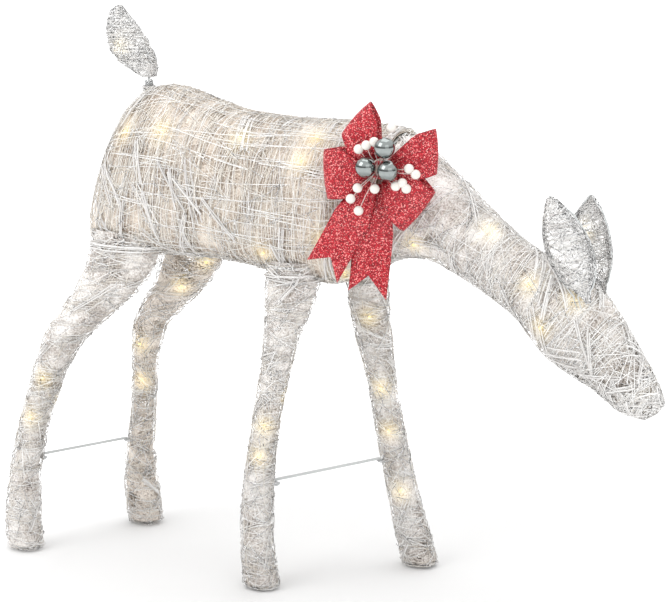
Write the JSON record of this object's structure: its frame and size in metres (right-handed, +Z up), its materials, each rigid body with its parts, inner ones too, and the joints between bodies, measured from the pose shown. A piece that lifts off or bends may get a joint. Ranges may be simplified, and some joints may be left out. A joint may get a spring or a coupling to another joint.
{
  "type": "light up yard reindeer",
  "caption": "Grazing doe of thread-wound wire sections lit from inside by small warm lights, with plug-in legs and neck, hooked spreader bars and a ribbon bow.",
  "frame": {"origin": "on the ground under the middle of the outline's box", "axes": "+X toward the nose, +Y toward the doe's left side, +Z up"},
  "size_m": [1.122, 0.3051, 0.917],
  "materials": {
    "thread": "silver and white thread wound over wire, glittery",
    "white_wire": "white coated",
    "lights": "clear, with warm white light",
    "steel": "zinc plated",
    "white_plastic": "moulded",
    "ribbon": "red glitter over woven ribbon",
    "silver_ball": "mirror",
    "berry": "pearl"
  },
  "bodies": {
    "reindeer": {"body_wrap": "thread", "body_frame": "white_wire", "body_lights": "lights", "tail_bracket": "steel", "neck_head_wrap": "thread", "neck_head_frame": "white_wire", "neck_head_lights": "lights", "neck_socket": "steel", "neck_light_plug": "white_plastic", "right_ear_wrap": "thread", "right_ear_frame": "white_wire", "left_ear_wrap": "thread", "left_ear_frame": "white_wire", "right_hind_leg_wrap": "thread", "right_hind_leg_frame": "white_wire", "right_hind_leg_lights": "lights", "right_hind_leg_socket": "steel", "right_hind_leg_clip": "steel", "right_hind_leg_bar_eye": "steel", "right_hind_light_plug": "white_plastic", "left_hind_leg_wrap": "thread", "left_hind_leg_frame": "white_wire", "left_hind_leg_lights": "lights", "left_hind_leg_socket": "steel", "left_hind_leg_clip": "steel", "left_hind_leg_bar_eye": "steel", "left_hind_light_plug": "white_plastic", "right_front_leg_wrap": "thread", "right_front_leg_frame": "white_wire", "right_front_leg_lights": "lights", "right_front_leg_socket": "steel", "right_front_leg_clip": "steel", "right_front_leg_bar_eye": "steel", "right_front_light_plug": "white_plastic", "left_front_leg_wrap": "thread", "left_front_leg_frame": "white_wire", "left_front_leg_lights": "lights", "left_front_leg_socket": "steel", "left_front_leg_clip": "steel", "left_front_leg_bar_eye": "steel", "left_front_light_plug": "white_plastic", "bow_loop_upper": "ribbon", "bow_loop_left": "ribbon", "bow_loop_right_upper": "ribbon", "bow_loop_right_lower": "ribbon", "bow_tail_left": "ribbon", "bow_tail_right": "ribbon", "bow_knot": "ribbon", "bow_tie_wire": "white_wire", "bow_ball_1": "silver_ball", "bow_ball_2": "silver_ball", "bow_ball_3": "silver_ball", "bow_berries_upper": "berry", "bow_berries_lower": "berry", "bow_berries_right": "berry"},
    "hind_bar": {"hind_spreader_bar": "white_wire"},
    "front_bar": {"front_spreader_bar": "white_wire"},
    "tail": {"tail_wrap": "thread", "tail_frame": "white_wire"}
  },
  "joints": [
    {"name": "hind_bar_swing", "type": "hinge", "parent": "reindeer", "child": "hind_bar", "pos_m": [-0.51069, -0.05391, 0.153], "axis": [0.8709, -0.4915, 0], "range_deg": [0, 70]},
    {"name": "front_bar_swing", "type": "hinge", "parent": "reindeer", "child": "front_bar", "pos_m": [-0.05916, -0.05578, 0.1665], "axis": [0.773, -0.6344, 0], "range_deg": [0, 70]},
    {"name": "tail_tilt", "type": "hinge", "parent": "reindeer", "child": "tail", "pos_m": [-0.331, 0.015, 0.7925], "axis": [0, 1, 0], "range_deg": [-25, 15]}
  ]
}
